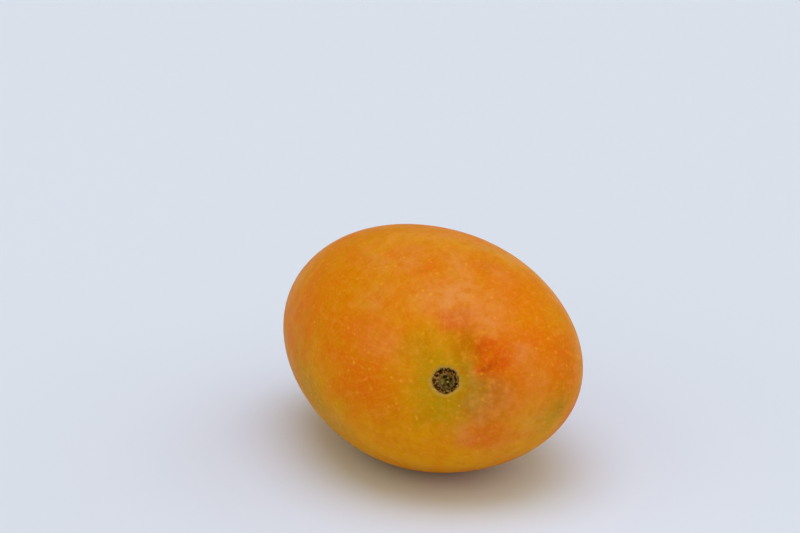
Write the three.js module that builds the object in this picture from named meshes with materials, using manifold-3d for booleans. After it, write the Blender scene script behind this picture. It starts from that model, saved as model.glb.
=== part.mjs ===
// A ripe mango lying on its cheek, one solid. Millimetres, +Z up.
// The long axis runs along Y with the stem end towards -Y, the full shoulder is at +X,
// the stem scar sits on the -X side, and the upper cheek faces +Z.
import * as THREE from "three";
import { mergeVertices } from "three/addons/utils/BufferGeometryUtils.js";
import Module from "manifold-3d";

const wasm = await Module();
wasm.setup();

// Driving dimensions of the body
const halfLength = 50.4;
const halfBreadth = 35.1;
const halfThickness = 31.7;

// How the body departs from an ellipsoid
const breadthTaper = 0.12; // broader at the stem end, as a share of the breadth
const thicknessTaper = 0.06; // thicker at the stem end, as a share of the thickness
const shoulderRise = 7.5; // the full shoulder reaches past the scar side
const bow = 1.9; // the middle stands out towards the full side
const sway = 0.6; // the ends lean opposite ways, without shifting the middle
const swayBalance = 1.8;
const twist = 0.3; // the cheeks lean a little against each other
const cup = 0.7; // the upper cheek is fuller in the middle, the lower one flatter

// Soft local forms, each a swelling or hollow about a direction from the middle
const beak = { height: 1.3, spread: 0.2, towards: axisDirection(-0.93, 0.36, 0.02) };
const hollow = { height: -1.1, spread: 0.3, towards: axisDirection(-0.72, 0.69, 0.05) };

// Slow unevenness of a grown fruit: plain waves over the directions, each under 0.2 high
const waves = [
  { height: 0.11, run: new THREE.Vector3(0.8, -3.4, 2.7), start: 0.4 },
  { height: 0.11, run: new THREE.Vector3(3.4, -3.4, -2.7), start: 0.4 },
  { height: 0.14, run: new THREE.Vector3(5.2, 0, -3.1), start: 1 },
];

// The stem scar: its place, its ring of cells and the shallow basin round it
const scarFromAxis = THREE.MathUtils.degToRad(28.9);
const scarTowardsCheek = THREE.MathUtils.degToRad(24.1);
const scarRadius = 3.5;
const coreRadius = 1.75;
const scarEdge = 0.45;
const troughDepth = 0.5;
const cellCount = 13;
const cellShare = 0.35;
const rimHeight = 0.3;
const rimRadius = 1.2 * scarRadius;
const rimWidth = 0.2 * scarRadius;
const basinDepth = 0.8;
const basinRadius = 2.6 * scarRadius;
const foldHeight = 0.12;
const foldCount = 5;

// How it lies: stem end up a little, full shoulder up a little, on a small flat spot
const stemLift = THREE.MathUtils.degToRad(1.9);
const shoulderLift = THREE.MathUtils.degToRad(1.3);
const footDepth = 0.7;

// Facets: the rings crowd towards the scar, and each cell of the scar spans whole meridians
const rings = 60;
const meridians = 5 * cellCount;
const crowding = 0.9;

// A unit direction from its shares along the axis to the stem, to the full side and up
function axisDirection(along, side, up) {
  return new THREE.Vector3(side, -along, up).normalize();
}

// A rounded swelling about one direction, worth its height there and fading to nothing
function swelling(form, direction) {
  const away = direction.distanceToSquared(form.towards);
  return form.height * Math.exp(-away / form.spread ** 2);
}

// The sum of the waves in one direction
function unevenness(direction) {
  return waves.reduce((sum, wave) => sum + wave.height * Math.sin(direction.dot(wave.run) + wave.start), 0);
}

// The smooth body: the surface point that belongs to a unit direction
function bodyPoint(direction) {
  const along = -direction.y;
  const side = direction.x;
  const up = direction.z;
  const length = halfLength * along + shoulderRise * side * ((1 + along) / 2) ** 2;
  const breadth = halfBreadth * side * (1 + breadthTaper * along)
    - bow * (along ** 2 - 1 / 3)
    + sway * along * (3 * along ** 2 - swayBalance);
  const height = halfThickness * up * (1 + thicknessTaper * along)
    - twist * along * side
    - cup * (side ** 2 - 1 / 3);
  const point = new THREE.Vector3(breadth, -length, height);
  const lift = swelling(beak, direction) + swelling(hollow, direction) + unevenness(direction);
  return point.setLength(point.length() + lift);
}

// The scar's place: its direction, its centre and the axes of its own plane
const scarDirection = axisDirection(
  Math.cos(scarFromAxis),
  -Math.sin(scarFromAxis) * Math.cos(scarTowardsCheek),
  Math.sin(scarFromAxis) * Math.sin(scarTowardsCheek),
);
const scar = scarPlane(scarDirection);

function scarPlane(direction) {
  const step = 0.001;
  const upward = new THREE.Vector3(0, 0, 1);
  const first = upward.clone().addScaledVector(direction, -upward.dot(direction)).normalize();
  const second = direction.clone().cross(first);
  const centre = bodyPoint(direction);
  const across = bodyPoint(direction.clone().addScaledVector(first, step).normalize()).sub(centre);
  const around = bodyPoint(direction.clone().addScaledVector(second, step).normalize()).sub(centre);
  const axis = across.clone().cross(around).normalize();
  const lineZero = across.normalize();
  return { centre, axis, lineZero, lineQuarter: axis.clone().cross(lineZero) };
}

// Height of the scar's relief at a distance from its centre and an angle round it
function scarRelief(distance, angle) {
  const { smoothstep } = THREE.MathUtils;
  const basin = -basinDepth * Math.exp(-((distance / basinRadius) ** 2));
  const foldBand = Math.exp(-(((distance - basinRadius) / (basinRadius / 2)) ** 2));
  const folds = foldHeight * foldBand * Math.cos(foldCount * angle);
  const rim = rimHeight * Math.exp(-(((distance - rimRadius) / rimWidth) ** 2));
  const pastCore = smoothstep(distance, coreRadius, coreRadius + scarEdge);
  const insideRing = 1 - smoothstep(distance, scarRadius - scarEdge, scarRadius);
  const cells = 1 + cellShare * Math.cos(cellCount * angle);
  return basin + folds + rim - troughDepth * pastCore * insideRing * cells;
}

// The finished surface point for a unit direction: the body with the scar's relief on it
function fruitPoint(direction) {
  const point = bodyPoint(direction);
  const offset = point.clone().sub(scar.centre);
  const angle = Math.atan2(offset.dot(scar.lineQuarter), offset.dot(scar.lineZero));
  return point.addScaledVector(scar.axis, scarRelief(offset.length(), angle));
}

// A closed grid of facets whose pole is turned to the scar
function fruitGeometry() {
  const geometry = new THREE.SphereGeometry(1, meridians, rings);
  const turn = new THREE.Quaternion().setFromUnitVectors(new THREE.Vector3(0, 1, 0), scarDirection);
  const position = geometry.attributes.position;
  const direction = new THREE.Vector3();
  for (let i = 0; i < position.count; i += 1) {
    direction.fromBufferAttribute(position, i);
    const around = Math.atan2(direction.x, direction.z);
    const share = Math.acos(THREE.MathUtils.clamp(direction.y, -1, 1)) / Math.PI;
    const fromScar = Math.PI * share * (1 - crowding * (1 - share) ** 4);
    direction.setFromSphericalCoords(1, fromScar, around).applyQuaternion(turn);
    const point = fruitPoint(direction);
    position.setXYZ(i, point.x, point.y, point.z);
  }
  geometry.rotateY(-shoulderLift);
  geometry.rotateX(-stemLift);
  geometry.computeBoundingBox();
  geometry.translate(0, 0, -geometry.boundingBox.min.z - footDepth);
  return geometry;
}

// A block under the surface that the fruit lies on
function blockBelow() {
  const side = halfLength;
  return new THREE.BoxGeometry(side, side, side).translate(0, 0, -side / 2);
}

// A closed geometry as a solid that can be cut
function toSolid(geometry) {
  geometry.deleteAttribute("normal");
  geometry.deleteAttribute("uv");
  const merged = mergeVertices(geometry);
  return new wasm.Manifold(new wasm.Mesh({
    numProp: 3,
    vertProperties: new Float32Array(merged.attributes.position.array),
    triVerts: new Uint32Array(merged.index.array),
  }));
}

function toGeometry(solid) {
  const mesh = solid.getMesh();
  const geometry = new THREE.BufferGeometry();
  geometry.setAttribute("position", new THREE.BufferAttribute(mesh.vertProperties, 3));
  geometry.setIndex(new THREE.BufferAttribute(mesh.triVerts, 1));
  geometry.computeVertexNormals();
  return geometry;
}

// The fruit with its flat spot cut, and the middle of its base at the origin
function makeFruit() {
  const geometry = toGeometry(toSolid(fruitGeometry()).subtract(toSolid(blockBelow())));
  geometry.computeBoundingBox();
  const middle = geometry.boundingBox.getCenter(new THREE.Vector3());
  const skin = new THREE.MeshStandardMaterial({ color: 0xd58119, roughness: 0.42, metalness: 0 });
  const fruit = new THREE.Mesh(geometry, skin);
  fruit.name = "mango";
  fruit.position.set(-middle.x, -middle.y, 0);
  return fruit;
}

const mango = new THREE.Group();
mango.add(makeFruit());

export default mango;
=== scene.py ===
# The looks of one ripe mango lying on its cheek: a fine skin mesh, its waxy skin and a soft studio light.
# Metres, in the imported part's frame: stem end towards -Y, full shoulder at +X, stem scar on the -X side.
import math

import bpy
import numpy as np
from mathutils import Matrix, Vector


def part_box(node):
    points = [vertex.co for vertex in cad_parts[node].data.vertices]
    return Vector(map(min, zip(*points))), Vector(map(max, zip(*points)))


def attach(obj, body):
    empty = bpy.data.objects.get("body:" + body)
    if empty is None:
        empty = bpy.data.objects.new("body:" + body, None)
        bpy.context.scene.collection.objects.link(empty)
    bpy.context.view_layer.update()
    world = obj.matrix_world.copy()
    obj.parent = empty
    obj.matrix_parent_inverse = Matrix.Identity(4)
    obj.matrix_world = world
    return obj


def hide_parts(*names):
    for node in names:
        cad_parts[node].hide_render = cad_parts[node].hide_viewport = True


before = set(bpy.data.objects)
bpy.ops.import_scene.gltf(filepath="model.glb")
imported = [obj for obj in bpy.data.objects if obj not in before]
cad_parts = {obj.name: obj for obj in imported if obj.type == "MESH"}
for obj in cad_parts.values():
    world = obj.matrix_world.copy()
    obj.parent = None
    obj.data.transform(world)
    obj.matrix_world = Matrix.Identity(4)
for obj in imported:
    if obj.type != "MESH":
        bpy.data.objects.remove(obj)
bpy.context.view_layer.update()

MM = 0.001
UPWARD = np.array([0.0, 0.0, 1.0])
SEED = 7

# The body, as in the part's source
HALF_LENGTH = 50.4 * MM
HALF_BREADTH = 35.1 * MM
HALF_THICKNESS = 31.7 * MM
BREADTH_TAPER = 0.12
THICKNESS_TAPER = 0.06
SHOULDER_RISE = 7.5 * MM
BOW = 1.9 * MM
SWAY = 0.6 * MM
SWAY_BALANCE = 1.8
TWIST = 0.3 * MM
CUP = 0.7 * MM
# Height, spread, and the direction as shares along the axis, to the full side and up
BEAK = (1.3 * MM, 0.2, (-0.93, 0.36, 0.02))
HOLLOW = (-1.1 * MM, 0.3, (-0.72, 0.69, 0.05))
# Height, how fast the wave runs along X, Y and Z, and where it starts
WAVES = (
    (0.11 * MM, (0.8, -3.4, 2.7), 0.4),
    (0.11 * MM, (3.4, -3.4, -2.7), 0.4),
    (0.14 * MM, (5.2, 0.0, -3.1), 1.0),
)

# The stem scar, as in the part's source
SCAR_FROM_AXIS = math.radians(28.9)
SCAR_TOWARDS_CHEEK = math.radians(24.1)
SCAR_RADIUS = 3.5 * MM
CORE_RADIUS = 1.75 * MM
SCAR_EDGE = 0.45 * MM
TROUGH_DEPTH = 0.5 * MM
CELL_COUNT = 13
CELL_SHARE = 0.35
RIM_HEIGHT = 0.3 * MM
RIM_RADIUS = 1.2 * SCAR_RADIUS
RIM_WIDTH = 0.2 * SCAR_RADIUS
BASIN_DEPTH = 0.8 * MM
BASIN_RADIUS = 2.6 * SCAR_RADIUS
FOLD_HEIGHT = 0.12 * MM
FOLD_COUNT = 5

# The scar's finer pattern, in millimetres: up and left in the photograph, from the middle of the ring
CORE_PLACE = (-0.2, -0.25)
# Two rows of cells: how far out, and their radius
CELL_ROWS = ((2.65, 0.68), (3.2, 0.42))
# How the cells vary: their place round the ring in cells, then distance, radius and strength as shares
CELL_PLACES = (-0.17, 0.17)
CELL_DISTANCES = (0.96, 1.04)
CELL_RADII = (0.75, 1.2)
CELL_STRENGTHS = (0.6, 1.0)
# How often the outer edge and the core's edge waver in a turn, and by what share
EDGE_WAVES = ((2, 0.015), (5, 0.02), (11, 0.02), (19, 0.015))
CORE_WAVES = ((2, 0.03), (5, 0.03))
# Each pit and fleck of the core: up and left from its middle, radius, strength. The first fleck, in the
# core's middle, is a painted glint.
CORE_PITS = (
    (1.15, 0.50, 0.44, 1.0),
    (1.30, 0.05, 0.38, 1.0),
    (0.55, -1.10, 0.50, 1.0),
    (0.20, -0.95, 0.34, 1.0),
    (0.45, -0.15, 0.34, 1.0),
    (0.35, 0.20, 0.24, 0.7),
    (-0.75, -0.35, 0.44, 1.0),
    (-0.90, 0.75, 0.30, 0.8),
    (-1.20, -0.60, 0.30, 0.7),
)
# Pale flecks of the core; the first, in its middle, is a painted glint
CORE_FLECKS_AND_GLINT = (
    (-0.08, -0.30, 0.30, 1.0),
    (0.30, 1.10, 0.70, 0.3),
    (-0.35, 1.10, 0.50, 0.4),
    (0.90, -0.40, 0.25, 0.6),
    (-0.95, -0.95, 0.22, 0.5),
    (-1.30, 0.15, 0.30, 0.4),
)
PIT_DEPTH = 0.25 * MM
# Where the soft edge of any round spot begins, as a share of its radius
SPOT_EDGE = 0.4

# The small scar of the flower, at the tip of the beak
TIP_RADIUS = 1.1 * MM
TIP_DEPTH = 0.25 * MM

# How it lies
STEM_LIFT = math.radians(1.9)
SHOULDER_LIFT = math.radians(1.3)
FOOT_DEPTH = 0.7 * MM

# The fine mesh: rings crowd towards the scar
RINGS = 300
MERIDIANS = 24 * CELL_COUNT
CROWDING = 0.9

# The skin's flow away from the scar: how far it is spread round the scar, and the length of one step
FLOW_ROUND = 12.0
FLOW_STEP = 12 * MM

# The photograph's view: its frame in pixels, and where the form's own middle falls in it
FRAME_WIDTH = 800
FRAME_HEIGHT = 533
MIDDLE_PIXEL = (419.9, 344.3)
FOCAL_PIXELS = 2156.0
VIEW_DISTANCE = 588 * MM
VIEW_TURN = math.radians(31.17)
VIEW_DROP = math.radians(19.87)
SENSOR_WIDTH = 36.0
CLIP_START = 10 * MM


# Directions and the body

def direction(along, side, up):
    """The unit direction with these shares along the axis to the stem, to the full side and up."""
    v = np.array([side, -along, up], float)
    return v / np.linalg.norm(v)


def swelling(form, u):
    """Height of a rounded swelling or hollow about one direction, for rows of unit directions."""
    height, spread, towards = form
    away = ((u - direction(*towards)) ** 2).sum(-1)
    return height * np.exp(-away / spread**2)


def body_points(u):
    """The smooth body's surface points for rows of unit directions."""
    side, along, up = u[:, 0], -u[:, 1], u[:, 2]
    length = HALF_LENGTH * along + SHOULDER_RISE * side * ((1 + along) / 2) ** 2
    breadth = HALF_BREADTH * side * (1 + BREADTH_TAPER * along)
    breadth += SWAY * along * (3 * along**2 - SWAY_BALANCE) - BOW * (along**2 - 1 / 3)
    height = HALF_THICKNESS * up * (1 + THICKNESS_TAPER * along)
    height -= TWIST * along * side + CUP * (side**2 - 1 / 3)
    points = np.stack([breadth, -length, height], -1)
    lift = swelling(BEAK, u) + swelling(HOLLOW, u)
    for wave_height, run, start in WAVES:
        lift += wave_height * np.sin(u @ np.array(run) + start)
    far = np.linalg.norm(points, axis=1)
    return points * ((far + lift) / far)[:, None]


# The places of the stem scar and of the tip, and the stem scar's relief

SCAR_DIRECTION = direction(
    math.cos(SCAR_FROM_AXIS),
    -math.sin(SCAR_FROM_AXIS) * math.cos(SCAR_TOWARDS_CHEEK),
    math.sin(SCAR_FROM_AXIS) * math.sin(SCAR_TOWARDS_CHEEK),
)
TIP_DIRECTION = direction(*BEAK[2])


def unit(v):
    return v / np.linalg.norm(v)


def scar_plane():
    """The scar's centre, its outward axis and the two lines in its plane that angles are counted from."""
    step = 0.001
    first = unit(UPWARD - UPWARD @ SCAR_DIRECTION * SCAR_DIRECTION)
    second = np.cross(SCAR_DIRECTION, first)
    steps = [unit(SCAR_DIRECTION + step * line) for line in (first, second)]
    centre, across, around = body_points(np.stack([SCAR_DIRECTION, *steps]))
    axis = unit(np.cross(across - centre, around - centre))
    zero = unit(across - centre)
    return centre, axis, zero, np.cross(axis, zero)


def smoothstep(value, low, high):
    """Nothing below low, one above high, and a smooth rise between."""
    t = np.clip((value - low) / (high - low), 0, 1)
    return t * t * (3 - 2 * t)


def bump(value, middle, width):
    """One at the middle, fading to nothing on both sides."""
    return np.exp(-(((value - middle) / width) ** 2))


class ScarPattern:
    """What the scar shows at each point: uneven cells in its ring, and pits in the core inside it."""

    def __init__(self, distance, angle, chance):
        self.distance = distance
        self.angle = angle
        self.up = distance * np.cos(angle)
        self.left = distance * np.sin(angle)
        self.edge = distance / (1 + self.waver(EDGE_WAVES, chance))
        from_core = np.hypot(self.up - CORE_PLACE[0] * MM, self.left - CORE_PLACE[1] * MM)
        self.core_edge = from_core / (1 + self.waver(CORE_WAVES, chance))
        self.cells = self.ring_cells(chance)
        self.pits = self.core_blobs(CORE_PITS)
        self.flecks_and_glint = self.core_blobs(CORE_FLECKS_AND_GLINT)

    def waver(self, waves, chance):
        """How much the distance to an edge varies round the scar."""
        total = np.zeros(len(self.angle))
        for count, height in waves:
            total += height * np.sin(count * self.angle + chance.uniform(0, math.tau))
        return total

    def blob(self, up, left, radius):
        """A round spot with a soft edge."""
        away = np.hypot(self.up - up, self.left - left)
        return 1 - smoothstep(away / radius, SPOT_EDGE, 1.0)

    def ring_cells(self, chance):
        """Cells in two staggered rows, none quite like the next."""
        pattern = np.zeros(len(self.distance))
        for number in range(2 * CELL_COUNT):
            row_distance, row_radius = CELL_ROWS[number % 2]
            turn = (number / 2 + chance.uniform(*CELL_PLACES)) * math.tau / CELL_COUNT
            far = row_distance * MM * chance.uniform(*CELL_DISTANCES)
            radius = row_radius * MM * chance.uniform(*CELL_RADII)
            cell = self.blob(far * math.cos(turn), far * math.sin(turn), radius)
            pattern = np.maximum(pattern, chance.uniform(*CELL_STRENGTHS) * cell)
        return pattern

    def core_blobs(self, places):
        """Round spots at their places in the core."""
        pattern = np.zeros(len(self.distance))
        for up, left, radius, strength in places:
            blob = self.blob((CORE_PLACE[0] + up) * MM, (CORE_PLACE[1] + left) * MM, radius * MM)
            pattern = np.maximum(pattern, strength * blob)
        return pattern

    def relief(self):
        """Height of the scar's relief, as in the part's source, with its own cells and pits."""
        basin = -BASIN_DEPTH * np.exp(-((self.distance / BASIN_RADIUS) ** 2))
        folds = FOLD_HEIGHT * bump(self.distance, BASIN_RADIUS, BASIN_RADIUS / 2)
        folds *= np.cos(FOLD_COUNT * self.angle)
        rim = RIM_HEIGHT * bump(self.distance, RIM_RADIUS, RIM_WIDTH)
        past_core = smoothstep(self.core_edge, CORE_RADIUS, CORE_RADIUS + SCAR_EDGE)
        inside_ring = 1 - smoothstep(self.edge, SCAR_RADIUS - SCAR_EDGE, SCAR_RADIUS)
        cells = 1 + CELL_SHARE * (2 * self.cells - 1)
        return basin + folds + rim - TROUGH_DEPTH * past_core * inside_ring * cells - PIT_DEPTH * self.pits


def tip_share(body):
    """How much each point belongs to the small scar at the tip of the beak."""
    middle = body_points(TIP_DIRECTION[None])
    away = np.linalg.norm(body - middle, axis=1)
    return 1 - smoothstep(away / TIP_RADIUS, SPOT_EDGE, 1.0)


# The fruit where it lies

def turn_about_x(angle):
    c, s = math.cos(angle), math.sin(angle)
    return np.array([[1, 0, 0], [0, c, -s], [0, s, c]])


def turn_about_y(angle):
    c, s = math.cos(angle), math.sin(angle)
    return np.array([[c, 0, s], [0, 1, 0], [-s, 0, c]])


LYING = turn_about_x(-STEM_LIFT) @ turn_about_y(-SHOULDER_LIFT)


def grid_directions():
    """Unit directions of the mesh: the pole at the scar, the rings between, and the pole opposite."""
    towards_pole = Vector(SCAR_DIRECTION)
    turn = np.array(Vector((0, 0, 1)).rotation_difference(towards_pole).to_matrix())
    share = np.arange(1, RINGS) / RINGS
    polar = math.pi * share * (1 - CROWDING * (1 - share) ** 4)
    around = np.arange(MERIDIANS) * math.tau / MERIDIANS
    polar, around = (a.ravel() for a in np.meshgrid(polar, around, indexing="ij"))
    rings = np.stack([np.sin(polar) * np.cos(around), np.sin(polar) * np.sin(around), np.cos(polar)], -1)
    return np.concatenate([[[0, 0, 1]], rings, [[0, 0, -1]]]) @ turn.T


def grid_faces():
    """Triangles round both poles and quads between, all facing out."""
    ring = np.arange(MERIDIANS)
    after = (ring + 1) % MERIDIANS
    last = 1 + (RINGS - 2) * MERIDIANS
    faces = [(0, 1 + a, 1 + b) for a, b in zip(ring, after)]
    for row in range(RINGS - 2):
        upper = 1 + row * MERIDIANS
        lower = upper + MERIDIANS
        faces += [(upper + a, lower + a, lower + b, upper + b) for a, b in zip(ring, after)]
    faces += [(last + MERIDIANS, last + b, last + a) for a, b in zip(ring, after)]
    return faces


def flatten_foot(points):
    """Everything under the surface is pressed up to it: the small flat spot."""
    points[:, 2] = np.maximum(points[:, 2], 0)
    return points


# The camera

VIEW_AWAY = np.array([
    math.sin(VIEW_TURN) * math.cos(VIEW_DROP),
    math.cos(VIEW_TURN) * math.cos(VIEW_DROP),
    -math.sin(VIEW_DROP),
])
VIEW_RIGHT = np.array([math.cos(VIEW_TURN), -math.sin(VIEW_TURN), 0])
VIEW_DOWN = np.cross(VIEW_AWAY, VIEW_RIGHT)


def camera_place(middle):
    """Where the camera stands so that the form's middle falls on its pixel."""
    right = (MIDDLE_PIXEL[0] - FRAME_WIDTH / 2) / FOCAL_PIXELS
    down = (MIDDLE_PIXEL[1] - FRAME_HEIGHT / 2) / FOCAL_PIXELS
    return middle - VIEW_DISTANCE * (VIEW_AWAY + right * VIEW_RIGHT + down * VIEW_DOWN)


def make_camera(place):
    data = bpy.data.cameras.new("camera")
    data.sensor_width = SENSOR_WIDTH
    data.lens = FOCAL_PIXELS / FRAME_WIDTH * SENSOR_WIDTH
    data.clip_start = CLIP_START
    camera = bpy.data.objects.new("camera", data)
    axes = Matrix(np.stack([VIEW_RIGHT, -VIEW_DOWN, -VIEW_AWAY], -1).tolist())
    camera.matrix_world = Matrix.Translation(Vector(place)) @ axes.to_4x4()
    bpy.context.scene.collection.objects.link(camera)
    bpy.context.scene.camera = camera


def to_pixels(points, place):
    """Where points fall in the photograph's frame."""
    offset = points - place
    depth = offset @ VIEW_AWAY
    across = FRAME_WIDTH / 2 + FOCAL_PIXELS * (offset @ VIEW_RIGHT) / depth
    down = FRAME_HEIGHT / 2 + FOCAL_PIXELS * (offset @ VIEW_DOWN) / depth
    return np.stack([across, down], -1)


# The skin mesh

def make_mesh(points):
    mesh = bpy.data.meshes.new("mango_skin")
    mesh.from_pydata(points.tolist(), [], grid_faces())
    mesh.update()
    mesh.shade_smooth()
    piece = bpy.data.objects.new("mango_skin", mesh)
    bpy.context.scene.collection.objects.link(piece)
    return piece


def vertex_normals(mesh):
    normals = np.zeros(len(mesh.vertices) * 3, np.float32)
    mesh.vertex_normals.foreach_get("vector", normals)
    return normals.reshape(-1, 3).astype(float)


def store(mesh, name, values):
    """Keeps one number, vector or colour for each point of the mesh, for its material to read."""
    kind, field = ("FLOAT", "value") if values.ndim == 1 else ("FLOAT_VECTOR", "vector")
    attribute = mesh.attributes.new(name, kind, "POINT")
    attribute.data.foreach_set(field, values.astype(np.float32).ravel())


# Marks on the skin. Those that the photograph shows are placed by its pixels, the others by a direction.
# Each has its place, its length along the flow from the scar, its width across it, and its strength.

SHOWN_BLUSH = (
    ((485, 345), 3.0, 2.2, 1.0),
    ((502, 360), 3.4, 2.6, 1.0),
    ((487, 367), 3.4, 1.1, 1.0),
    ((503, 352), 7.0, 6.0, 0.5),
    ((531, 336), 7.5, 6.5, 0.5),
    ((560, 364), 6.0, 9.0, 0.55),
    ((572, 357), 5.0, 8.0, 0.35),
    ((507, 313), 4.0, 4.0, 0.3),
    ((514, 384), 6.5, 5.0, 0.35),
    ((538, 396), 6.0, 6.0, 0.3),
    ((505, 284), 9.0, 8.0, 0.32),
    ((485, 268), 6.0, 7.0, 0.25),
    ((455, 318), 4.0, 6.5, 0.8),
    ((370, 331), 8.0, 6.0, 0.45),
    ((382, 349), 6.0, 5.0, 0.2),
    ((480, 262), 5.0, 6.0, 0.2),
    ((482, 440), 4.5, 7.0, 0.65),
    ((366, 394), 8.0, 6.0, 0.45),
    ((362, 375), 8.0, 5.0, 0.35),
    ((341, 355), 7.0, 3.0, 0.4),
    ((323, 354), 7.0, 4.0, 0.3),
    ((291, 345), 8.0, 8.0, 0.35),
    ((357, 420), 4.0, 4.0, 0.35),
    ((340, 325), 13.0, 4.0, 0.35),
    ((310, 300), 13.0, 9.0, 0.3),
    ((425, 267), 4.5, 8.0, 0.35),
    ((392, 254), 3.5, 6.0, 0.35),
)
# Yellow marks. Those along the top right edge, at (455, 234), (490, 246), (502, 253), (530, 266) and (545,
# 284), paint that edge's sheen, a painted reflection, in a yellow tint.
SHOWN_YELLOW_AND_SHEEN = (
    ((434, 341), 5.0, 5.5, 0.7),
    ((424, 358), 7.0, 6.0, 0.5),
    ((418, 388), 6.0, 9.0, 0.35),
    ((426, 448), 9.0, 10.0, 0.75),
    ((450, 467), 9.0, 20.0, 0.9),
    ((306, 359), 11.0, 7.0, 0.3),
    ((322, 406), 13.0, 12.0, 0.8),
    ((352, 436), 10.0, 12.0, 0.7),
    ((385, 236), 11.0, 12.0, 0.9),
    ((420, 230), 9.0, 14.0, 0.8),
    ((466, 241), 8.0, 9.0, 0.7),
    ((502, 253), 5.0, 10.0, 0.5),
    ((545, 284), 5.0, 10.0, 0.4),
    ((545, 418), 8.0, 8.0, 0.6),
    ((545, 435), 7.0, 12.0, 0.5),
    ((506, 442), 5.0, 8.0, 0.35),
    ((530, 266), 8.0, 12.0, 0.4),
    ((455, 234), 7.0, 12.0, 0.5),
    ((490, 246), 7.0, 12.0, 0.5),
    ((313, 265), 8.0, 10.0, 0.4),
    ((335, 246), 8.0, 10.0, 0.5),
    ((358, 233), 7.0, 10.0, 0.5),
    ((418, 305), 6.0, 4.0, 0.3),
)
# Olive marks. The one at (489, 248), on the top right edge, paints that edge's sheen, a painted reflection.
SHOWN_OLIVE_AND_SHEEN = (
    ((436, 350), 6.0, 6.0, 0.15),
    ((442, 385), 8.5, 8.5, 0.9),
    ((440, 388), 6.0, 6.0, 0.6),
    ((450, 400), 4.5, 7.5, 0.85),
    ((464, 371), 3.5, 4.0, 0.6),
    ((463, 423), 3.5, 4.0, 0.35),
    ((442, 412), 5.0, 6.0, 0.6),
    ((418, 416), 3.0, 2.5, 0.4),
    ((472, 387), 5.5, 3.5, 0.7),
    ((469, 351), 3.5, 3.5, 0.3),
    ((469, 401), 3.5, 3.5, 0.6),
    ((290, 370), 9.0, 7.0, 0.45),
    ((314, 402), 9.0, 8.0, 0.5),
    ((336, 424), 8.0, 8.0, 0.65),
    ((375, 235), 7.0, 7.0, 0.3),
    ((489, 248), 5.0, 9.0, 0.45),
    ((440, 470), 4.0, 12.0, 0.15),
    ((553, 415), 6.0, 8.0, 0.8),
    ((540, 421), 5.0, 6.0, 0.25),
)
# Pale marks, partly the skin's wax bloom and partly painted light: the broad patch round (451, 297) is a
# painted highlight, and the marks along the top and top right edge, from (425, 236) to (573, 326), are a
# painted sheen.
SHOWN_BLOOM_AND_SHEEN = (
    ((451, 297), 6.5, 4.5, 0.9),
    ((472, 310), 3.5, 3.5, 0.7),
    ((490, 326), 3.5, 3.5, 0.6),
    ((458, 266), 7.0, 4.5, 0.5),
    ((425, 300), 5.0, 4.0, 0.35),
    ((524, 353), 3.0, 4.0, 0.55),
    ((542, 380), 3.0, 4.0, 0.3),
    ((469, 402), 2.5, 3.0, 0.4),
    ((480, 418), 3.0, 3.0, 0.5),
    ((464, 434), 3.0, 4.0, 0.45),
    ((380, 262), 6.0, 3.0, 0.45),
    ((378, 300), 5.0, 4.0, 0.4),
    ((420, 290), 5.0, 4.0, 0.3),
    ((411, 252), 4.0, 7.0, 0.35),
    ((497, 302), 4.0, 4.0, 0.4),
    ((500, 274), 5.0, 5.0, 0.35),
    ((502, 400), 6.0, 4.0, 0.45),
    ((472, 376), 2.5, 3.0, 0.3),
    ((414, 266), 4.0, 4.0, 0.35),
    ((425, 236), 6.0, 14.0, 0.35),
    ((498, 250), 4.0, 10.0, 0.4),
    ((470, 240), 5.0, 12.0, 0.3),
    ((516, 262), 5.0, 12.0, 0.5),
    ((546, 284), 4.0, 10.0, 0.35),
    ((560, 300), 4.0, 10.0, 0.3),
    ((573, 326), 4.0, 10.0, 0.25),
    ((376, 342), 7.0, 5.0, 0.35),
    ((337, 422), 3.0, 5.0, 0.35),
    ((536, 418), 5.0, 6.0, 0.3),
    ((507, 444), 6.0, 8.0, 0.3),
)
# Darker places, by which the colour is multiplied with no change of hue: partly a deeper tone of the skin,
# partly painted shade.
SHOWN_DEEP_AND_SHADE = (
    ((486, 387), 5.5, 5.0, 0.95),
    ((487, 381), 2.6, 0.8, 0.8),
    ((487, 368), 2.4, 0.8, 0.75),
    ((472, 350), 5.0, 4.5, 0.75),
    ((467, 373), 3.5, 4.0, 0.5),
    ((491, 386), 3.5, 3.0, 0.5),
    ((456, 326), 5.5, 6.5, 0.5),
    ((480, 264), 5.0, 6.0, 0.3),
    ((302, 342), 10.0, 8.0, 0.25),
    ((309, 381), 8.0, 6.0, 0.25),
    ((566, 354), 7.0, 8.0, 0.3),
    ((420, 346), 6.0, 7.0, 0.55),
    ((472, 407), 3.5, 3.5, 0.3),
    ((481, 416), 7.0, 6.0, 0.5),
    ((560, 409), 3.0, 4.0, 0.6),
    ((343, 402), 5.0, 4.0, 0.3),
)
HIDDEN_BLUSH = (
    ((-0.2, 0.5, 0.8), 20.0, 18.0, 0.5),
    ((-0.5, -0.3, 0.7), 16.0, 12.0, 0.4),
    ((0.3, 0.95, 0.1), 14.0, 16.0, 0.5),
    ((-0.7, 0.6, -0.3), 14.0, 12.0, 0.4),
    ((-0.3, 0.85, 0.35), 7.0, 5.0, 0.7),
)
HIDDEN_YELLOW = (
    ((-0.95, 0.1, -0.2), 16.0, 16.0, 0.5),
    ((-0.1, -0.3, -0.95), 30.0, 22.0, 0.7),
    ((-0.7, -0.7, 0.1), 12.0, 14.0, 0.5),
    ((-0.5, 0.1, 0.85), 12.0, 8.0, 0.5),
    ((-0.5, 0.85, -0.2), 14.0, 10.0, 0.4),
)
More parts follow.
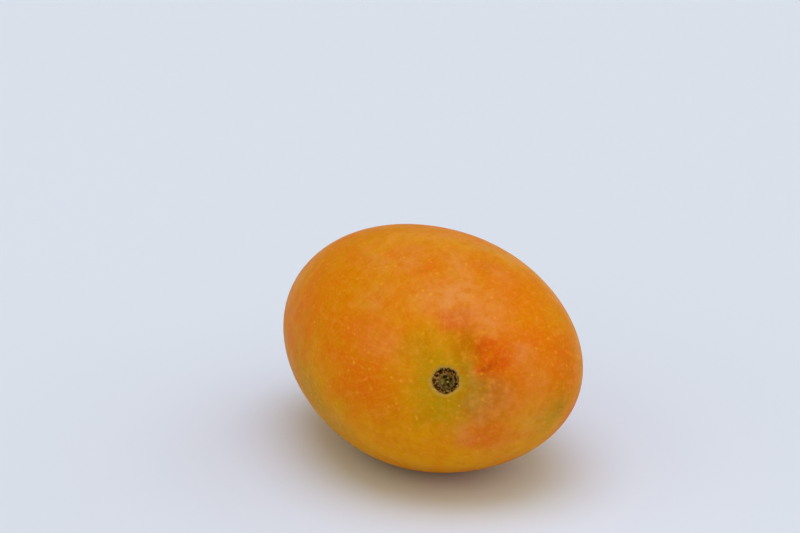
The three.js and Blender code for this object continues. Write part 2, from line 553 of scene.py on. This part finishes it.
HIDDEN_OLIVE = (
    ((-0.95, 0.1, -0.2), 12.0, 14.0, 0.5),
    ((-0.1, -0.3, -0.95), 26.0, 18.0, 0.5),
    ((-0.3, -0.95, -0.1), 16.0, 12.0, 0.4),
    ((-0.5, 0.8, 0.3), 12.0, 8.0, 0.3),
)
HIDDEN_BLOOM = (
    ((-0.45, 0.2, 0.85), 12.0, 8.0, 0.5),
    ((-0.1, 0.9, 0.5), 9.0, 7.0, 0.5),
    ((-0.75, -0.4, 0.45), 9.0, 8.0, 0.4),
)
HIDDEN_DEEP = (
    ((-0.6, 0.7, 0.2), 6.0, 5.0, 0.4),
    ((-0.8, -0.4, 0.1), 6.0, 6.0, 0.4),
)
# How far the marks' outlines wander, at each length of wave
WANDER_LENGTHS = (19 * MM, 11 * MM, 6 * MM)
WANDER_SHARE = 0.04
WANDER_WAVES = 3


def wander(points, chance):
    """A smooth irregular shift of each point, which gives the marks uneven outlines."""
    shift = np.zeros_like(points)
    for length in WANDER_LENGTHS:
        for _ in range(WANDER_WAVES):
            run = unit(chance.normal(size=3)) * math.tau / length
            wave = np.sin(points @ run + chance.uniform(0, math.tau))
            shift += WANDER_SHARE * length * wave[:, None] * chance.normal(size=3)
    return shift


class Skin:
    """The laid-down surface: its points, normals, and where each point lies about the scar."""

    def __init__(self, points, normals, scar_centre, pattern, camera, chance):
        self.points = points
        self.uneven = points + wander(points, chance)
        self.normals = normals
        self.scar_centre = scar_centre
        self.pattern = pattern
        self.pixels = to_pixels(points, camera)
        self.faces_camera = ((camera - points) * normals).sum(-1) > 0

    def at_pixel(self, pixel):
        """The number of the point that the photograph shows at a pixel."""
        miss = ((self.pixels - np.array(pixel)) ** 2).sum(-1)
        return int(np.argmin(np.where(self.faces_camera, miss, np.inf)))

    def at_direction(self, shares):
        """The number of the point farthest out in a direction from the middle."""
        middle = self.points.mean(0)
        outward = self.points - middle
        outward /= np.linalg.norm(outward, axis=1)[:, None]
        return int(np.argmax(outward @ (LYING @ direction(*shares))))

    def mark(self, index, length, width):
        """A soft oval round one point, longer along the flow from the scar."""
        centre, normal = self.points[index], self.normals[index]
        flow = centre - self.scar_centre
        flow = unit(flow - flow @ normal * normal)
        across = np.cross(normal, flow)
        offset = self.uneven - self.uneven[index]
        reach = ((offset @ flow) / length) ** 2 + ((offset @ across) / width) ** 2
        reach += ((offset @ normal) / (length + width)) ** 2
        return np.exp(-reach)

    def marks(self, shown, hidden=()):
        """The joint strength of a list of marks, never above one."""
        clear = np.ones(len(self.points))
        places = [(self.at_pixel(place), *rest) for place, *rest in shown]
        places += [(self.at_direction(place), *rest) for place, *rest in hidden]
        for index, length, width, strength in places:
            clear *= 1 - strength * self.mark(index, length * MM, width * MM)
        return 1 - clear


# The scar's colours, from its own pattern. All colours are linear red, green and blue.

SCAR_DARK = (0.026, 0.007, 0.001)
SCAR_BROWN = (0.185, 0.072, 0.009)
SCAR_TAN = (0.390, 0.245, 0.070)
SCAR_CORE = (0.088, 0.056, 0.008)
# Pale flecks, and the painted glint in the core's middle
SCAR_FLECK_AND_GLINT = (0.400, 0.310, 0.080)
SCAR_CIRCLE = (0.300, 0.190, 0.095)
SCAR_RIM = (0.340, 0.185, 0.022)
# The pale circle round the core: its radius, half its width, how strong it is and how that varies in a turn
CIRCLE_RADIUS = 1.95 * MM
CIRCLE_WIDTH = 0.11 * MM
CIRCLE_STRENGTH = 0.6
CIRCLE_CHANGE = 0.4
CIRCLE_BREAKS = 3
# How dark the cells are, and the widths of the tan rim and of the ring's soft inner edge
CELL_DARKNESS = 1.1
TAN_WIDTH = 0.35 * MM
RING_SOFTNESS = 0.3 * MM
# From the ring's radius outwards: where the scar fades into its halo, and the halo into the skin
SCAR_FADE = (-0.25 * MM, 0.1 * MM)
HALO_FADE = (0.1 * MM, 1.0 * MM)


def blend(first, second, share):
    """Rows of colours between the first ones and a second one."""
    return first + (np.array(second) - first) * share[:, None]


def scar_colours(pattern):
    """Each point's colour in the scar: brown ring with dark cells, pale circle, dark green-brown core with
    pale specks and pits; the speck in the core's middle is a painted glint.
    """
    colour = np.tile(np.array(SCAR_BROWN), (len(pattern.distance), 1))
    colour = blend(colour, SCAR_DARK, np.clip(CELL_DARKNESS * pattern.cells, 0, 1))
    core = 1 - smoothstep(pattern.core_edge, CIRCLE_RADIUS - CIRCLE_WIDTH, CIRCLE_RADIUS)
    colour = blend(colour, SCAR_CORE, core)
    # Pale flecks, one of them a painted glint
    colour = blend(colour, SCAR_FLECK_AND_GLINT, core * pattern.flecks_and_glint)
    colour = blend(colour, SCAR_DARK, core * pattern.pits)
    circle = bump(pattern.core_edge, CIRCLE_RADIUS, CIRCLE_WIDTH)
    broken = CIRCLE_STRENGTH + CIRCLE_CHANGE * np.sin(CIRCLE_BREAKS * pattern.angle + 1)
    colour = blend(colour, SCAR_CIRCLE, circle * broken)
    rim = smoothstep(pattern.edge, SCAR_RADIUS - TAN_WIDTH, SCAR_RADIUS)
    return blend(colour, SCAR_RIM, rim)


# The skin's material

class Paint:
    """A material's node tree, with a short call for each kind of node that the skin uses."""

    def __init__(self, name):
        self.material = bpy.data.materials.new(name)
        self.material.use_nodes = True
        self.tree = self.material.node_tree
        self.surface = self.tree.nodes["Principled BSDF"]

    def add(self, kind, **settings):
        """A new node of a kind, with its settings."""
        node = self.tree.nodes.new(kind)
        for name, value in settings.items():
            setattr(node, name, value)
        return node

    def feed(self, socket, value):
        """Links an output to a socket, or sets the socket to a plain value."""
        if isinstance(value, bpy.types.NodeSocket):
            self.tree.links.new(value, socket)
        else:
            socket.default_value = value

    def attribute(self, name, output="Fac"):
        """What the mesh keeps under a name, as a number or, with another output, a vector."""
        return self.add("ShaderNodeAttribute", attribute_name=name).outputs[output]

    def place(self):
        """The place on the fruit, in its own coordinates."""
        return self.add("ShaderNodeTexCoord").outputs["Object"]

    def noise(self, vector, scale, detail=2.0, roughness=0.5, distortion=0.0):
        """A cloudy pattern between 0 and 1."""
        node = self.add("ShaderNodeTexNoise")
        self.feed(node.inputs["Vector"], vector)
        settings = {"Scale": scale, "Detail": detail, "Roughness": roughness, "Distortion": distortion}
        for name, value in settings.items():
            node.inputs[name].default_value = value
        return node.outputs["Fac"]

    def scatter(self, vector, scale):
        """The distance to the nearest of a scatter of points, and a random value of that point's own."""
        node = self.add("ShaderNodeTexVoronoi")
        self.feed(node.inputs["Vector"], vector)
        node.inputs["Scale"].default_value = scale
        return node.outputs["Distance"], node.outputs["Color"]

    def calculate(self, operation, first, second):
        """A plain calculation with two numbers."""
        node = self.add("ShaderNodeMath", operation=operation)
        self.feed(node.inputs[0], first)
        self.feed(node.inputs[1], second)
        return node.outputs[0]

    def times(self, first, second):
        """The product of two numbers."""
        return self.calculate("MULTIPLY", first, second)

    def spread(self, value, low, high, to_low=0.0, to_high=1.0):
        """Maps a value from low..high smoothly on to to_low..to_high."""
        node = self.add("ShaderNodeMapRange", interpolation_type="SMOOTHSTEP")
        for socket, setting in zip(node.inputs, (value, low, high, to_low, to_high)):
            self.feed(socket, setting)
        return node.outputs["Result"]

    def mix(self, share, first, second, kind="MIX"):
        """A colour between two colours, or for another kind the first one changed by the second."""
        node = self.add("ShaderNodeMix", data_type="RGBA", blend_type=kind)
        for socket, value in zip((node.inputs[0], node.inputs[6], node.inputs[7]), (share, first, second)):
            if isinstance(value, tuple):
                value = (*value, 1.0)
            self.feed(socket, value)
        return node.outputs[2]

    def bump(self, height, distance, strength, under=None):
        """A fine relief, on top of another one if that is given."""
        node = self.add("ShaderNodeBump")
        self.feed(node.inputs["Height"], height)
        node.inputs["Distance"].default_value = distance
        node.inputs["Strength"].default_value = strength
        if under is not None:
            self.feed(node.inputs["Normal"], under)
        return node.outputs["Normal"]


# The skin's colours: the ground, its marks, and the fine texture over both
ORANGE = (0.73, 0.200, 0.001)
GOLD = (0.69, 0.245, 0.001)
# Yellow, also a tint of the painted sheen along the top right edge
YELLOW_AND_SHEEN = (0.74, 0.31, 0.001)
# Olive, also a tint of the painted sheen on the top right edge
OLIVE_AND_SHEEN = (0.54, 0.265, 0.002)
GREEN = (0.45, 0.262, 0.003)
BLUSH = (0.74, 0.155, 0.002)
RED = (0.70, 0.100, 0.002)
# Multiplier for the darker places: partly deeper tone, partly painted shade
DEEP_AND_SHADE = (0.70, 0.67, 1.0)
# Pale wax bloom, and the colour of the painted highlight and sheen
BLOOM_AND_SHEEN = (0.76, 0.290, 0.085)
PALE = (0.80, 0.290, 0.030)
SHADE = (0.62, 0.165, 0.001)
DOT = (0.90, 0.37, 0.022)
HALO = (0.45, 0.285, 0.085)
# How strongly the strongest of each shows
GREEN_SHARE = 0.8
BLOOM_AND_SHEEN_SHARE = 0.8
DOT_SHARE = 0.65
HALO_SHARE = 0.5
TIP_SHARE = 0.8

# Lenticels: how many to a metre, then their range of sizes and their soft edge as shares of their spacing
LENTICEL_SCALE = 470.0
LENTICEL_SIZES = (0.06, 0.23)
LENTICEL_EDGE = (-0.16, 0.13)

# Wax: roughness of the skin from its glossiest to its dullest place and of the scar, then its reflection
SKIN_ROUGHNESS = (0.38, 0.50)
SCAR_ROUGHNESS = 0.85
SKIN_IOR = 1.42
SPECULAR_LEVEL = 0.03
SPECULAR_TINT = (1.0, 0.7, 0.35, 1)
# Fine relief
PORE_HEIGHT = 0.05 * MM
LENTICEL_HEIGHT = 0.06 * MM


class Noises:
    """The irregular patterns that the skin's layers share: some by place, some drawn out along the flow."""

    def __init__(self, paint):
        place = paint.place()
        flow = paint.attribute("flow", "Vector")
        self.broad = paint.noise(place, scale=55.0, detail=3.0, roughness=0.55)
        self.patches = paint.noise(place, scale=150.0, detail=4.0, roughness=0.6)
        self.other_patches = paint.noise(flow, scale=1.6, detail=4.0, roughness=0.65)
        self.streaks = paint.noise(flow, scale=4.0, detail=3.0, roughness=0.6)
        self.fibres = paint.noise(flow, scale=2.2, distortion=0.8)
        self.mottle = paint.noise(place, scale=380.0, detail=3.0, roughness=0.6)
        self.fine = paint.noise(place, scale=1100.0)
        half_patches = paint.times(self.patches, 0.5)
        half_mottle = paint.times(self.mottle, 0.5)
        self.blotch = paint.calculate("ADD", half_patches, half_mottle)


def ground_colour(paint, noises):
    """Orange and gold, with patches and streaks of a faint blush."""
    colour = paint.mix(paint.spread(noises.broad, 0.38, 0.64), ORANGE, GOLD)
    colour = paint.mix(paint.spread(noises.patches, 0.44, 0.64, 0.0, 0.3), colour, BLUSH)
    colour = paint.mix(paint.spread(noises.other_patches, 0.48, 0.7, 0.0, 0.45), colour, GOLD)
    return paint.mix(paint.spread(noises.streaks, 0.48, 0.68, 0.0, 0.5), colour, BLUSH)


def yellow_green_and_sheen(paint, noises, colour):
    """Yellow marks, and dull yellow-green ones that turn green where they are strongest; along the top
    right edge both are partly a painted sheen.
    """
    # Yellow, and on the top right edge a painted sheen
    yellow_and_sheen = paint.times(paint.attribute("yellow_and_sheen"), paint.spread(noises.patches, 0.38, 0.62, 1.2, 0.6))
    colour = paint.mix(paint.spread(yellow_and_sheen, 0.05, 0.9), colour, YELLOW_AND_SHEEN)
    # Olive, and on the top right edge a painted sheen
    olive_and_sheen = paint.times(paint.attribute("olive_and_sheen"), paint.spread(noises.other_patches, 0.35, 0.65, 1.15, 0.8))
    colour = paint.mix(paint.spread(olive_and_sheen, 0.05, 0.85), colour, OLIVE_AND_SHEEN)
    green = paint.times(olive_and_sheen, paint.spread(noises.mottle, 0.38, 0.62, 0.6, 1.0))
    return paint.mix(paint.spread(green, 0.4, 0.95, 0.0, GREEN_SHARE), colour, GREEN)


def blush_shade_bloom_and_sheen(paint, noises, colour):
    """A blotched blush that turns red where it is strongest, darker places that are partly a deeper tone
    and partly painted shade, and a pale waxy haze that is partly the skin's own and partly a painted
    highlight and sheen.
    """
    blush = paint.times(paint.attribute("blush"), paint.spread(noises.blotch, 0.38, 0.60, 0.75, 1.2))
    colour = paint.mix(paint.spread(blush, 0.05, 0.7), colour, BLUSH)
    colour = paint.mix(paint.spread(blush, 0.5, 0.95), colour, RED)
    # Darker places: partly deeper tone, partly painted shade
    deep_and_shade = paint.times(paint.attribute("deep_and_shade"), paint.spread(noises.blotch, 0.38, 0.60, 1.2, 0.7))
    colour = paint.mix(paint.spread(deep_and_shade, 0.0, 1.0), colour, DEEP_AND_SHADE, "MULTIPLY")
    # The pale marks: wax bloom, and a painted highlight and sheen
    bloom_and_sheen = paint.times(paint.attribute("bloom_and_sheen"), paint.spread(noises.mottle, 0.35, 0.62, 0.6, 1.15))
    return paint.mix(paint.times(bloom_and_sheen, BLOOM_AND_SHEEN_SHARE), colour, BLOOM_AND_SHEEN)


def fine_texture(paint, noises, colour):
    """Pale fibres along the flow, a pale and dark mottle, and the finest pale grain."""
    fibres = paint.times(noises.fibres, paint.spread(noises.broad, 0.38, 0.60, 0.85, 1.05))
    colour = paint.mix(paint.spread(fibres, 0.50, 0.70, 0.0, 0.25), colour, PALE)
    colour = paint.mix(paint.spread(noises.mottle, 0.52, 0.72, 0.0, 0.35), colour, PALE)
    colour = paint.mix(paint.spread(noises.mottle, 0.52, 0.28, 0.0, 0.38), colour, SHADE)
    return paint.mix(paint.spread(noises.fine, 0.45, 0.70, 0.0, 0.18), colour, DOT)


def skin_colour(paint):
    """The skin without its scars and lenticels."""
    noises = Noises(paint)
    colour = ground_colour(paint, noises)
    colour = yellow_green_and_sheen(paint, noises, colour)
    colour = blush_shade_bloom_and_sheen(paint, noises, colour)
    return fine_texture(paint, noises, colour)


def lenticels(paint):
    """Pale dots of uneven size, in loose groups, where the surface cuts a scatter of points."""
    place = paint.place()
    distance, chance = paint.scatter(place, LENTICEL_SCALE)
    size = paint.spread(chance, 0.2, 0.9, *LENTICEL_SIZES)
    past_size = paint.calculate("SUBTRACT", distance, size)
    dots = paint.spread(past_size, *LENTICEL_EDGE, 1.0, 0.0)
    groups = paint.spread(paint.noise(place, scale=90.0), 0.35, 0.6, 0.25, 1.0)
    return paint.times(dots, groups)


def scar_colour(paint):
    """The scar's own colours, with tan and dark specks in the ring."""
    colour = paint.attribute("scar_colour", "Vector")
    speck = paint.noise(paint.place(), scale=1700.0, detail=1.0)
    ring = paint.attribute("scar_ring")
    colour = paint.mix(paint.times(ring, paint.spread(speck, 0.50, 0.68, 0.0, 0.9)), colour, SCAR_TAN)
    return paint.mix(paint.times(ring, paint.spread(speck, 0.50, 0.34, 0.0, 0.8)), colour, SCAR_DARK)


def fruit_colour(paint, dots, on_scar):
    """The skin with its lenticels, the stem scar in its pale halo, and the scar at the tip."""
    colour = paint.mix(paint.times(dots, DOT_SHARE), skin_colour(paint), DOT)
    colour = paint.mix(paint.attribute("halo"), colour, HALO)
    colour = paint.mix(on_scar, colour, scar_colour(paint))
    return paint.mix(paint.times(paint.attribute("tip"), TIP_SHARE), colour, SCAR_BROWN)


def fine_relief(paint, dots):
    """Pores all over, and the lenticels a little raised."""
    pores = paint.bump(paint.noise(paint.place(), scale=1500.0), PORE_HEIGHT, 0.5)
    return paint.bump(dots, LENTICEL_HEIGHT, 0.6, pores)


def make_skin_material():
    paint = Paint("mango_skin")
    sockets = paint.surface.inputs
    dots = lenticels(paint)
    on_scar = paint.attribute("scar_share")
    paint.feed(sockets["Base Color"], fruit_colour(paint, dots, on_scar))
    waxy = paint.noise(paint.place(), scale=160.0, detail=3.0, roughness=0.6)
    skin_roughness = paint.spread(waxy, 0.3, 0.7, *SKIN_ROUGHNESS)
    paint.feed(sockets["Roughness"], paint.spread(on_scar, 0.0, 1.0, skin_roughness, SCAR_ROUGHNESS))
    paint.feed(sockets["Normal"], fine_relief(paint, dots))
    sockets["IOR"].default_value = SKIN_IOR
    sockets["Specular IOR Level"].default_value = SPECULAR_LEVEL
    sockets["Specular Tint"].default_value = SPECULAR_TINT
    return paint.material


# Floor and lights

FLOOR_HALF = 3.0
FLOOR_COLOUR = (0.745, 0.80, 0.93, 1)
ROOM_COLOUR = (1.0, 0.93, 0.42, 1)
ROOM_STRENGTH = 0.30
# Each light: strength, colour, spread in degrees, and where it comes from: shares up, near and to the right
LIGHTS = {
    "overhead": (1.28, (0.62, 0.65, 1.0), 50, (1.0, 0.0, 0.0)),
    "front": (1.18, (1.0, 0.99, 0.88), 110, (0.55, 1.0, -0.5)),
    "right": (1.03, (0.92, 1.0, 0.97), 90, (0.5, 0.0, 1.0)),
}


def make_floor():
    half = FLOOR_HALF
    mesh = bpy.data.meshes.new("floor")
    corners = [(-half, -half, 0), (half, -half, 0), (half, half, 0), (-half, half, 0)]
    mesh.from_pydata(corners, [], [(0, 1, 2, 3)])
    floor = bpy.data.objects.new("floor", mesh)
    bpy.context.scene.collection.objects.link(floor)
    paint = Paint("floor")
    paint.surface.inputs["Base Color"].default_value = FLOOR_COLOUR
    paint.surface.inputs["Roughness"].default_value = 0.9
    paint.surface.inputs["Specular IOR Level"].default_value = 0.1
    mesh.materials.append(paint.material)


def make_sun(name, strength, colour, spread, source):
    """A broad soft light from the side that source points to."""
    data = bpy.data.lights.new(name, "SUN")
    data.energy = strength
    data.color = colour
    data.angle = math.radians(spread)
    light = bpy.data.objects.new(name, data)
    light.rotation_euler = Vector(source).to_track_quat("Z", "Y").to_euler()
    bpy.context.scene.collection.objects.link(light)


def make_lights():
    """A dim warm room, a cool light overhead, and broad ones from the viewer's left and right."""
    world = bpy.data.worlds.new("studio")
    world.use_nodes = True
    background = world.node_tree.nodes["Background"]
    background.inputs["Color"].default_value = ROOM_COLOUR
    background.inputs["Strength"].default_value = ROOM_STRENGTH
    bpy.context.scene.world = world
    for name, (strength, colour, spread, (up, near, right)) in LIGHTS.items():
        source = up * UPWARD - near * VIEW_AWAY + right * VIEW_RIGHT
        make_sun(name, strength, colour, spread, source)


# Making it all

def place_in_frame(lying):
    """The shift that puts the form over the middle of the part's box, with its foot below the surface."""
    low, high = lying.min(0), lying.max(0)
    box_low, box_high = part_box("mango")
    return np.array([
        (box_low.x + box_high.x - low[0] - high[0]) / 2,
        (box_low.y + box_high.y - low[1] - high[1]) / 2,
        -low[2] - FOOT_DEPTH,
    ])


def make_fruit():
    """The camera and the fruit's mesh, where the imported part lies."""
    body = body_points(grid_directions())
    centre, axis, zero, quarter = scar_plane()
    offset = body - centre
    distance = np.linalg.norm(offset, axis=1)
    angle = np.arctan2(offset @ quarter, offset @ zero)
    chance = np.random.default_rng(SEED)
    pattern = ScarPattern(distance, angle, chance)
    tip = tip_share(body)
    form = body + pattern.relief()[:, None] * axis - TIP_DEPTH * tip[:, None] * TIP_DIRECTION
    lying = form @ LYING.T
    shift = place_in_frame(lying)
    camera = camera_place(shift)
    make_camera(camera)
    points = flatten_foot(lying + shift)
    piece = make_mesh(points)
    skin = Skin(points, vertex_normals(piece.data), LYING @ centre + shift, pattern, camera, chance)
    store(piece.data, "tip", tip)
    return piece, skin


def store_marks(mesh, skin):
    """Keeps the strength of each kind of mark at each point."""
    store(mesh, "blush", skin.marks(SHOWN_BLUSH, HIDDEN_BLUSH))
    store(mesh, "yellow_and_sheen", skin.marks(SHOWN_YELLOW_AND_SHEEN, HIDDEN_YELLOW))
    store(mesh, "olive_and_sheen", skin.marks(SHOWN_OLIVE_AND_SHEEN, HIDDEN_OLIVE))
    store(mesh, "bloom_and_sheen", skin.marks(SHOWN_BLOOM_AND_SHEEN, HIDDEN_BLOOM))
    store(mesh, "deep_and_shade", skin.marks(SHOWN_DEEP_AND_SHADE, HIDDEN_DEEP))


def store_scar(mesh, pattern):
    """Keeps where each point lies about the scar, and the scar's own colours."""
    round_scar = [FLOW_ROUND * np.cos(pattern.angle), FLOW_ROUND * np.sin(pattern.angle)]
    store(mesh, "flow", np.stack([*round_scar, pattern.distance / FLOW_STEP], -1))
    store(mesh, "scar_colour", scar_colours(pattern))
    store(mesh, "scar_ring", smoothstep(pattern.core_edge, CIRCLE_RADIUS, CIRCLE_RADIUS + RING_SOFTNESS))
    past_radius = pattern.edge - SCAR_RADIUS
    store(mesh, "scar_share", 1 - smoothstep(past_radius, *SCAR_FADE))
    store(mesh, "halo", HALO_SHARE * (1 - smoothstep(past_radius, *HALO_FADE)))


def colour_fruit(piece, skin):
    store_marks(piece.data, skin)
    store_scar(piece.data, skin.pattern)
    piece.data.materials.append(make_skin_material())


piece, skin = make_fruit()
colour_fruit(piece, skin)
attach(piece, "root")
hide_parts("mango")
make_floor()
make_lights()
bpy.context.scene.view_settings.view_transform = "Standard"
